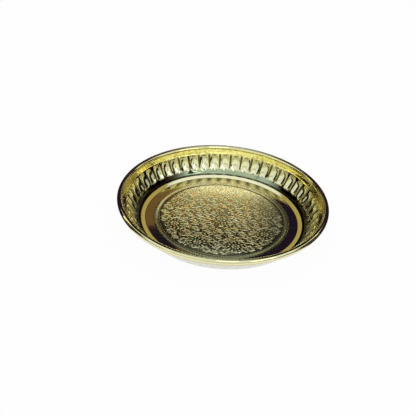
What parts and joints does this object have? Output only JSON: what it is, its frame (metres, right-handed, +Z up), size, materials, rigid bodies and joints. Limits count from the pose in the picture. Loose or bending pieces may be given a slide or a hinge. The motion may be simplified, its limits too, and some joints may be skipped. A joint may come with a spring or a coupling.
{
  "type": "thali plate",
  "caption": "Round pressed brass thali with a flat floor, a sloping ledge ring, a steep fluted wall and an edge rolled outward over a wire.",
  "frame": {"origin": "centre of the underside, on the surface that the plate stands on", "axes": "+Z up, out of the open side of the plate, along its axis; the wall's flutes start on the +X side"},
  "size_m": [0.203, 0.203, 0.0255],
  "materials": {
    "polished_brass": "polished, engraved on the floor",
    "wire_brass": "drawn wire, unpolished"
  },
  "bodies": {
    "root": {"plate_sheet": "polished_brass", "rim_wire": "wire_brass"}
  },
  "joints": []
}
